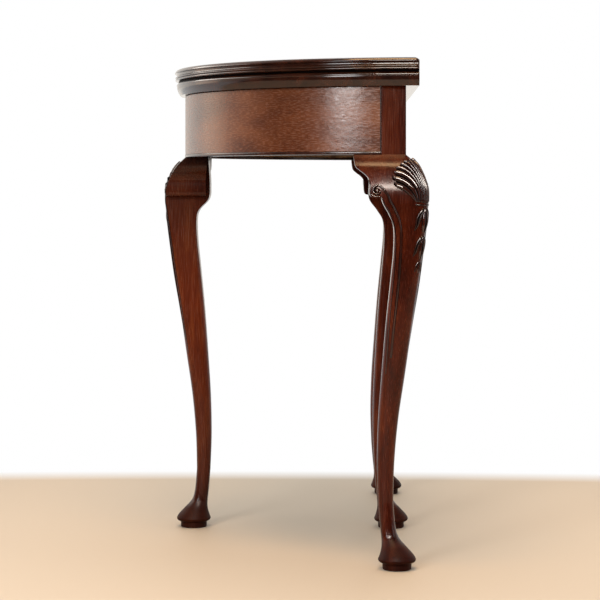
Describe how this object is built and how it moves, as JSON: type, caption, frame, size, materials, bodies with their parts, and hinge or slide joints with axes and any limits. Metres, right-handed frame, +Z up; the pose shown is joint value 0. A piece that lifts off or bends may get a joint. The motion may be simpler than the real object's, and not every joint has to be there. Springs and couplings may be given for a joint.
{
  "type": "demi-lune card table",
  "caption": "Half-round fold-over card table on cabriole legs with pad feet; a gate leg at the back swings out to carry the opened leaf.",
  "frame": {"origin": "on the floor, under the middle of the closed table's bounding box", "axes": "+X along the straight back to the table's right-hand end, +Y from the bowed front to the straight back, +Z up"},
  "size_m": [0.7966, 0.4152, 0.75],
  "materials": {
    "top_mahogany": "dark polished mahogany",
    "leg_mahogany": "red-brown polished mahogany",
    "frieze_veneer": "polished mahogany veneer",
    "oak": "unpolished oak",
    "pine": "unpolished pine",
    "baize": "green woollen baize",
    "brass": "aged brass",
    "iron": "dark iron"
  },
  "bodies": {
    "frame": {"lower_leaf": "top_mahogany", "lower_baize": "baize", "frieze_veneer": "frieze_veneer", "frieze_bead": "top_mahogany", "frieze_core": "oak", "inner_back_rail": "oak", "fixed_knuckle_rail": "oak", "fixed_outer_rail": "oak", "medial_rail": "oak", "left_corner_leg": "leg_mahogany", "right_corner_leg": "leg_mahogany", "front_leg": "leg_mahogany", "left_corner_front_bracket": "leg_mahogany", "left_corner_back_bracket": "leg_mahogany", "left_front_leg_bracket": "leg_mahogany", "right_corner_front_bracket": "leg_mahogany", "right_corner_back_bracket": "leg_mahogany", "right_front_leg_bracket": "leg_mahogany", "frieze_block_1": "pine", "frieze_block_2": "pine", "frieze_block_3": "pine", "frieze_block_4": "pine", "rail_block_1": "pine", "rail_block_2": "pine", "frieze_block_1_screw": "iron", "frieze_block_2_screw": "iron", "frieze_block_3_screw": "iron", "frieze_block_4_screw": "iron", "rail_block_1_screw": "iron", "rail_block_2_screw": "iron", "left_rail_screw_1": "iron", "left_rail_screw_2": "iron", "right_rail_screw_1": "iron", "right_rail_screw_2": "iron", "gate_hinge_pin": "iron", "left_lower_butt_plate": "brass", "right_lower_butt_plate": "brass", "left_butt_pin": "brass", "right_butt_pin": "brass", "left_lower_butt_screw_1": "brass", "left_lower_butt_screw_2": "brass", "right_lower_butt_screw_1": "brass", "right_lower_butt_screw_2": "brass"},
    "top_leaf": {"upper_leaf": "top_mahogany", "upper_baize": "baize", "left_upper_butt_plate": "brass", "right_upper_butt_plate": "brass", "left_upper_butt_screw_1": "brass", "left_upper_butt_screw_2": "brass", "right_upper_butt_screw_1": "brass", "right_upper_butt_screw_2": "brass"},
    "gate": {"gate_rail": "oak", "gate_leg": "leg_mahogany", "left_gate_leg_bracket": "leg_mahogany", "right_gate_leg_bracket": "leg_mahogany"}
  },
  "joints": [
    {"name": "leaf_hinge", "type": "hinge", "parent": "frame", "child": "top_leaf", "pos_m": [0, 0.195, 0.73], "axis": [-1, 0, 0], "range_deg": [0, 180]},
    {"name": "gate_hinge", "type": "hinge", "parent": "frame", "child": "gate", "pos_m": [-0.2, 0.1649, 0], "axis": [0, 0, 1], "range_deg": [0, 90]}
  ]
}
